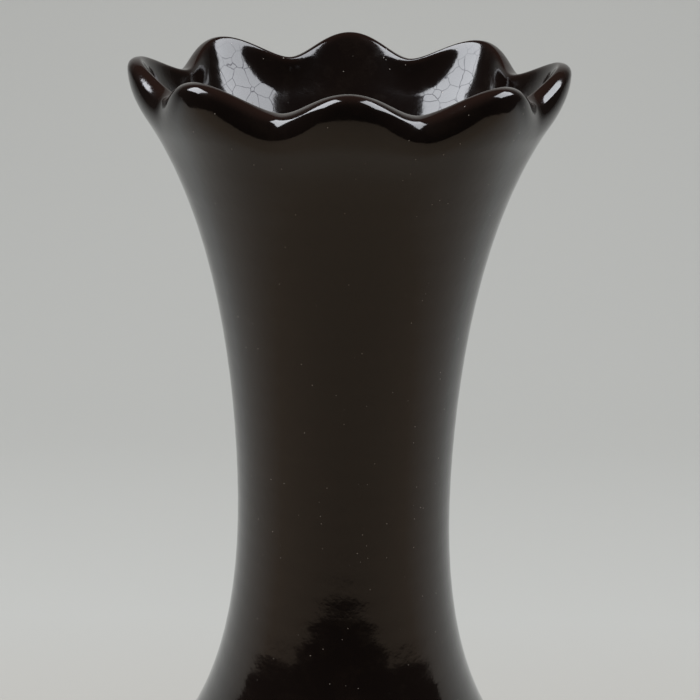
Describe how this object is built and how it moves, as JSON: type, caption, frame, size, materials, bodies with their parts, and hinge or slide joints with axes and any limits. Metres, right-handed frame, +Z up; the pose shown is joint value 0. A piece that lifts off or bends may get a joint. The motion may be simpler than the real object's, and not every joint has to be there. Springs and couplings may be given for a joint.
{
  "type": "pottery vase",
  "caption": "Tall dark-glazed pottery vase with a round belly, long waisted neck, trumpet mouth and petalled lip on a ring foot.",
  "frame": {"origin": "centre of the foot's underside, where the axis of the pot meets the table", "axes": "+Z up along the pot's axis; -Y is the side seen in the picture"},
  "size_m": [0.188, 0.188, 0.444],
  "materials": {
    "dark_glaze": "gloss",
    "bare_clay": "matte"
  },
  "bodies": {
    "root": {"foot_ring": "bare_clay", "lower_body": "dark_glaze", "shoulder": "dark_glaze", "neck": "dark_glaze", "petalled_lip": "dark_glaze"}
  },
  "joints": []
}
